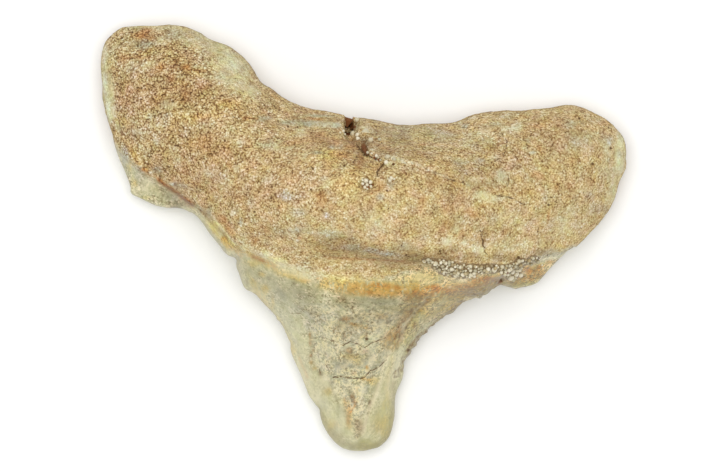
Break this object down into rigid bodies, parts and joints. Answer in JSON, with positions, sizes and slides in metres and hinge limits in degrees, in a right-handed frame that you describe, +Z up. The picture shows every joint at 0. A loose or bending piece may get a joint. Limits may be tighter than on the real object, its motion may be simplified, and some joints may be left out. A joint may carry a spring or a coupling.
{
  "type": "fossil shark tooth",
  "caption": "Worn fossil shark tooth with a thick two-lobed root and a short broad pointed crown, lying on its outer face.",
  "frame": {"origin": "middle of the outline seen from above, on the surface that the tooth lies on", "axes": "+X from the left root lobe to the right one, +Y from the tip towards the root, +Z up, out of the inner face"},
  "size_m": [0.046, 0.0374, 0.0151],
  "materials": {
    "fossil_tooth": "matte",
    "sandy_matrix": "matte"
  },
  "bodies": {
    "root": {"tooth": "fossil_tooth"}
  },
  "joints": []
}
